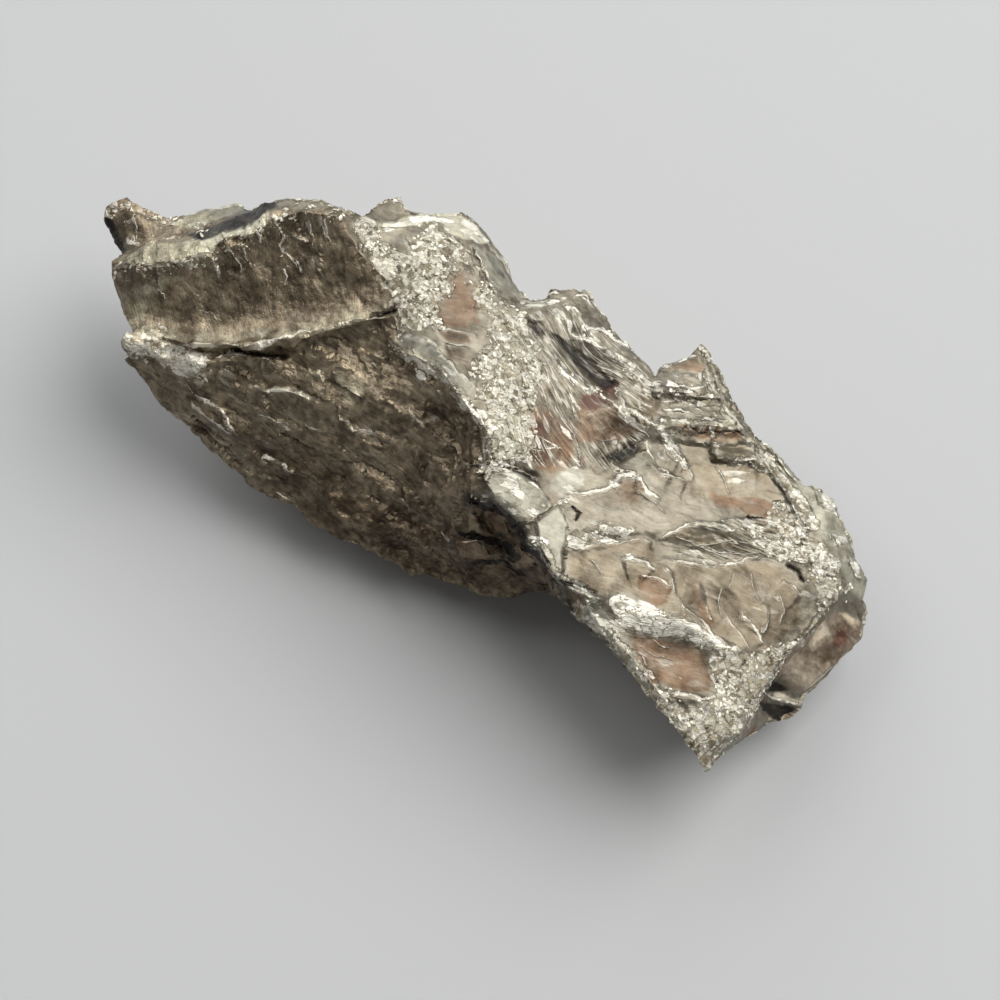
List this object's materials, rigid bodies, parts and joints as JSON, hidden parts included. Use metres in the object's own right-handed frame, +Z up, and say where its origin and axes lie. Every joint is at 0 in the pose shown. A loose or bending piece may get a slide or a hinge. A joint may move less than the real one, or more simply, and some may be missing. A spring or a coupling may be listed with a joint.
{
  "type": "elite shungite stone",
  "caption": "Raw broken stone with a concave scoop, dark walls, a sharp crest and a bright ledged face; lies on a flat facet as a display or collector's piece.",
  "frame": {"origin": "middle of the bounding box's underside, on the surface that the stone rests on", "axes": "+Z up from the rest facet, +X along the stone's longest extent towards its bright end, +Y towards the back wall"},
  "size_m": [0.0562, 0.0426, 0.0202],
  "materials": {
    "shungite": "semi-metallic glassy fracture faces, silver-beige where they catch the light and dark olive-brown elsewhere, with red-brown patches"
  },
  "bodies": {
    "root": {"shungite_stone": "shungite"}
  },
  "joints": []
}
